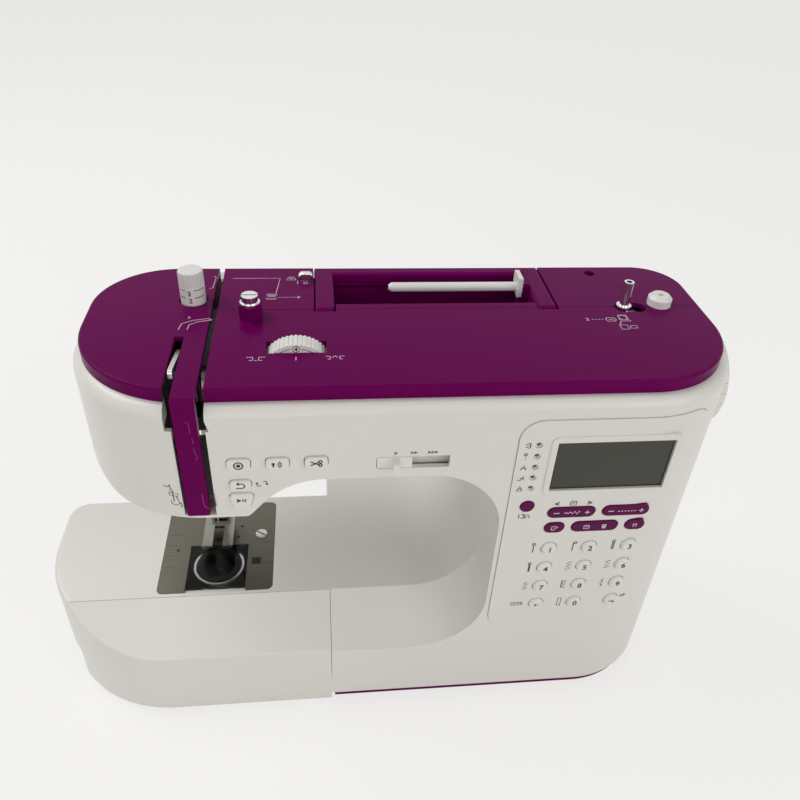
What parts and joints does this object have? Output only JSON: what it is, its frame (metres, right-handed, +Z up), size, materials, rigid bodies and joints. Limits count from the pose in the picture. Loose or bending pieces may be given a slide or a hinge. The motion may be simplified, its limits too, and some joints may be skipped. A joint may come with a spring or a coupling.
{
  "type": "sewing machine",
  "caption": "Computerised free-arm sewing machine with white casing, purple caps, folding carry handle, keypad and display, presser foot, drop-in bobbin and handwheel.",
  "frame": {"origin": "bottom centre of the whole machine, on the table", "axes": "+X along the arm to the handwheel, +Y from the front to the rear, +Z up"},
  "size_m": [0.442, 0.164, 0.29],
  "materials": {
    "white_shell": "satin moulded",
    "purple_shell": "satin moulded",
    "white_key": "satin",
    "display": "clear window over a dark display",
    "clear_cover": "clear, slightly smoked",
    "steel": "brushed",
    "bright_metal": "polished",
    "cast_frame": "as cast",
    "black_plastic": "matte",
    "rubber": "matte"
  },
  "bodies": {
    "casing": {"front_cover": "white_shell", "rear_cover": "white_shell", "thread_cap": "purple_shell", "front_cap": "purple_shell", "rear_cap": "purple_shell", "base_tray": "purple_shell", "rubber_feet": "rubber", "control_panel": "white_shell", "lcd_window": "display", "main_frame": "cast_frame", "drive_motor": "steel", "drive_belt": "rubber", "bobbin_case": "black_plastic", "needle_plate": "steel", "spool_pin": "white_key", "winder_tension": "bright_metal", "winder_stop": "white_key", "power_inlet": "black_plastic"},
    "main_drive": {"handwheel": "white_shell", "main_shaft": "steel"},
    "lower_drive": {"lower_shaft": "steel"},
    "hook": {"rotary_hook": "bright_metal"},
    "bobbin": {"bobbin": "clear_cover"},
    "needle_carrier": {"needle_bar": "steel", "needle": "bright_metal"},
    "lifter": {"presser_lifter": "steel"},
    "presser": {"presser_bar": "steel"},
    "foot": {"presser_foot": "bright_metal"},
    "take_up": {"take_up_lever": "steel"},
    "feed": {"feed_dogs": "steel"},
    "cover": {"bobbin_cover": "clear_cover"},
    "tension": {"tension_wheel": "white_key"},
    "pressure": {"pressure_dial": "white_key"},
    "slider": {"speed_slider": "white_key"},
    "handle": {"carry_handle": "purple_shell"},
    "winder": {"winder_spindle": "bright_metal"},
    "box": {"accessory_box": "white_shell"},
    "key_1": {"key_1": "white_key"},
    "key_2": {"key_2": "white_key"},
    "key_3": {"key_3": "white_key"},
    "key_4": {"key_4": "white_key"},
    "key_5": {"key_5": "white_key"},
    "key_6": {"key_6": "white_key"},
    "key_7": {"key_7": "white_key"},
    "key_8": {"key_8": "white_key"},
    "key_9": {"key_9": "white_key"},
    "key_pattern": {"key_pattern": "white_key"},
    "key_0": {"key_0": "white_key"},
    "key_shift": {"key_shift": "white_key"},
    "mode_key": {"mode_key": "purple_shell"},
    "width_rocker": {"width_rocker": "purple_shell"},
    "length_rocker": {"length_rocker": "purple_shell"},
    "memory_rocker": {"memory_rocker": "purple_shell"},
    "edit_key": {"edit_key": "purple_shell"},
    "twin_key": {"twin_key": "purple_shell"},
    "lock_button": {"lock_button": "white_key"},
    "needle_button": {"needle_button": "white_key"},
    "cutter_button": {"cutter_button": "white_key"},
    "reverse_button": {"reverse_button": "white_key"},
    "start_button": {"start_button": "white_key"}
  },
  "joints": [
    {"name": "handwheel_turn", "type": "hinge", "parent": "casing", "child": "main_drive", "pos_m": [0.211, 0.007, 0.2225], "axis": [1, 0, 0], "continuous": true},
    {"name": "lower_shaft_turn", "type": "hinge", "parent": "casing", "child": "lower_drive", "pos_m": [0.1, 0.007, 0.046], "axis": [1, 0, 0], "continuous": true},
    {"name": "hook_turn", "type": "hinge", "parent": "casing", "child": "hook", "pos_m": [-0.107, -0.012, 0.046], "axis": [0, 0, 1], "continuous": true},
    {"name": "bobbin_turn", "type": "hinge", "parent": "casing", "child": "bobbin", "pos_m": [-0.107, -0.012, 0.068], "axis": [0, 0, 1], "continuous": true},
    {"name": "needle_bar_stroke", "type": "slide", "parent": "casing", "child": "needle_carrier", "axis": [0, 0, -1], "range_m": [0, 0.031]},
    {"name": "lifter_swing", "type": "hinge", "parent": "casing", "child": "lifter", "pos_m": [-0.087, 0.0317, 0.198], "axis": [0, 1, 0], "range_deg": [0, 51]},
    {"name": "presser_travel", "type": "slide", "parent": "casing", "child": "presser", "axis": [0, 0, -1], "range_m": [0, 0.008]},
    {"name": "foot_tilt", "type": "hinge", "parent": "presser", "child": "foot", "pos_m": [-0.107, 0.022, 0.097], "axis": [-1, 0, 0], "range_deg": [0, 8]},
    {"name": "take_up_swing", "type": "hinge", "parent": "casing", "child": "take_up", "pos_m": [-0.11, -0.01, 0.234], "axis": [1, 0, 0], "range_deg": [0, 60]},
    {"name": "feed_travel", "type": "slide", "parent": "casing", "child": "feed", "axis": [0, 1, 0], "range_m": [-0.0025, 0.0025]},
    {"name": "cover_lift", "type": "slide", "parent": "casing", "child": "cover", "axis": [0, -0.8192, 0.5736], "range_m": [0, 0.06]},
    {"name": "tension_turn", "type": "hinge", "parent": "casing", "child": "tension", "pos_m": [-0.0456, -0.0293, 0.2546], "axis": [0, 1, 0], "range_deg": [-60, 60]},
    {"name": "pressure_turn", "type": "hinge", "parent": "casing", "child": "pressure", "pos_m": [-0.107, 0.025, 0.27], "axis": [0, 0, 1], "range_deg": [-150, 150]},
    {"name": "speed_slide", "type": "slide", "parent": "casing", "child": "slider", "axis": [1, 0, 0], "range_m": [0, 0.02]},
    {"name": "handle_swing", "type": "hinge", "parent": "casing", "child": "handle", "pos_m": [0.0395, 0.015, 0.265], "axis": [1, 0, 0], "range_deg": [0, 90]},
    {"name": "winder_shift", "type": "slide", "parent": "casing", "child": "winder", "axis": [1, 0, 0], "range_m": [0, 0.009]},
    {"name": "box_slide", "type": "slide", "parent": "casing", "child": "box", "axis": [-1, 0, 0], "range_m": [0, 0.21]},
    {"name": "key_1_press", "type": "slide", "parent": "casing", "child": "key_1", "axis": [0, 1, 0], "range_m": [0, 0.0012], "stiffness_N_per_m": 400},
    {"name": "key_2_press", "type": "slide", "parent": "casing", "child": "key_2", "axis": [0, 1, 0], "range_m": [0, 0.0012], "stiffness_N_per_m": 400},
    {"name": "key_3_press", "type": "slide", "parent": "casing", "child": "key_3", "axis": [0, 1, 0], "range_m": [0, 0.0012], "stiffness_N_per_m": 400},
    {"name": "key_4_press", "type": "slide", "parent": "casing", "child": "key_4", "axis": [0, 1, 0], "range_m": [0, 0.0012], "stiffness_N_per_m": 400},
    {"name": "key_5_press", "type": "slide", "parent": "casing", "child": "key_5", "axis": [0, 1, 0], "range_m": [0, 0.0012], "stiffness_N_per_m": 400},
    {"name": "key_6_press", "type": "slide", "parent": "casing", "child": "key_6", "axis": [0, 1, 0], "range_m": [0, 0.0012], "stiffness_N_per_m": 400},
    {"name": "key_7_press", "type": "slide", "parent": "casing", "child": "key_7", "axis": [0, 1, 0], "range_m": [0, 0.0012], "stiffness_N_per_m": 400},
    {"name": "key_8_press", "type": "slide", "parent": "casing", "child": "key_8", "axis": [0, 1, 0], "range_m": [0, 0.0012], "stiffness_N_per_m": 400},
    {"name": "key_9_press", "type": "slide", "parent": "casing", "child": "key_9", "axis": [0, 1, 0], "range_m": [0, 0.0012], "stiffness_N_per_m": 400},
    {"name": "key_pattern_press", "type": "slide", "parent": "casing", "child": "key_pattern", "axis": [0, 1, 0], "range_m": [0, 0.0012], "stiffness_N_per_m": 400},
    {"name": "key_0_press", "type": "slide", "parent": "casing", "child": "key_0", "axis": [0, 1, 0], "range_m": [0, 0.0012], "stiffness_N_per_m": 400},
    {"name": "key_shift_press", "type": "slide", "parent": "casing", "child": "key_shift", "axis": [0, 1, 0], "range_m": [0, 0.0012], "stiffness_N_per_m": 400},
    {"name": "mode_key_press", "type": "slide", "parent": "casing", "child": "mode_key", "axis": [0, 1, 0], "range_m": [0, 0.0012], "stiffness_N_per_m": 400},
    {"name": "width_rocker_press", "type": "slide", "parent": "casing", "child": "width_rocker", "axis": [0, 1, 0], "range_m": [0, 0.0012], "stiffness_N_per_m": 400},
    {"name": "length_rocker_press", "type": "slide", "parent": "casing", "child": "length_rocker", "axis": [0, 1, 0], "range_m": [0, 0.0012], "stiffness_N_per_m": 400},
    {"name": "memory_rocker_press", "type": "slide", "parent": "casing", "child": "memory_rocker", "axis": [0, 1, 0], "range_m": [0, 0.0012], "stiffness_N_per_m": 400},
    {"name": "edit_key_press", "type": "slide", "parent": "casing", "child": "edit_key", "axis": [0, 1, 0], "range_m": [0, 0.0012], "stiffness_N_per_m": 400},
    {"name": "twin_key_press", "type": "slide", "parent": "casing", "child": "twin_key", "axis": [0, 1, 0], "range_m": [0, 0.0012], "stiffness_N_per_m": 400},
    {"name": "lock_button_press", "type": "slide", "parent": "casing", "child": "lock_button", "axis": [0, 1, 0], "range_m": [0, 0.0012], "stiffness_N_per_m": 400},
    {"name": "needle_button_press", "type": "slide", "parent": "casing", "child": "needle_button", "axis": [0, 1, 0], "range_m": [0, 0.0012], "stiffness_N_per_m": 400},
    {"name": "cutter_button_press", "type": "slide", "parent": "casing", "child": "cutter_button", "axis": [0, 1, 0], "range_m": [0, 0.0012], "stiffness_N_per_m": 400},
    {"name": "reverse_button_press", "type": "slide", "parent": "casing", "child": "reverse_button", "axis": [0, 1, 0], "range_m": [0, 0.0012], "stiffness_N_per_m": 400},
    {"name": "start_button_press", "type": "slide", "parent": "casing", "child": "start_button", "axis": [0, 1, 0], "range_m": [0, 0.0012], "stiffness_N_per_m": 400}
  ],
  "couplings": [
    {"joint": "lower_shaft_turn", "follows": "handwheel_turn", "ratio": 1},
    {"joint": "hook_turn", "follows": "handwheel_turn", "ratio": 2},
    {"joint": "lifter_swing", "follows": "presser_travel", "rad_per_m": 109.08}
  ]
}
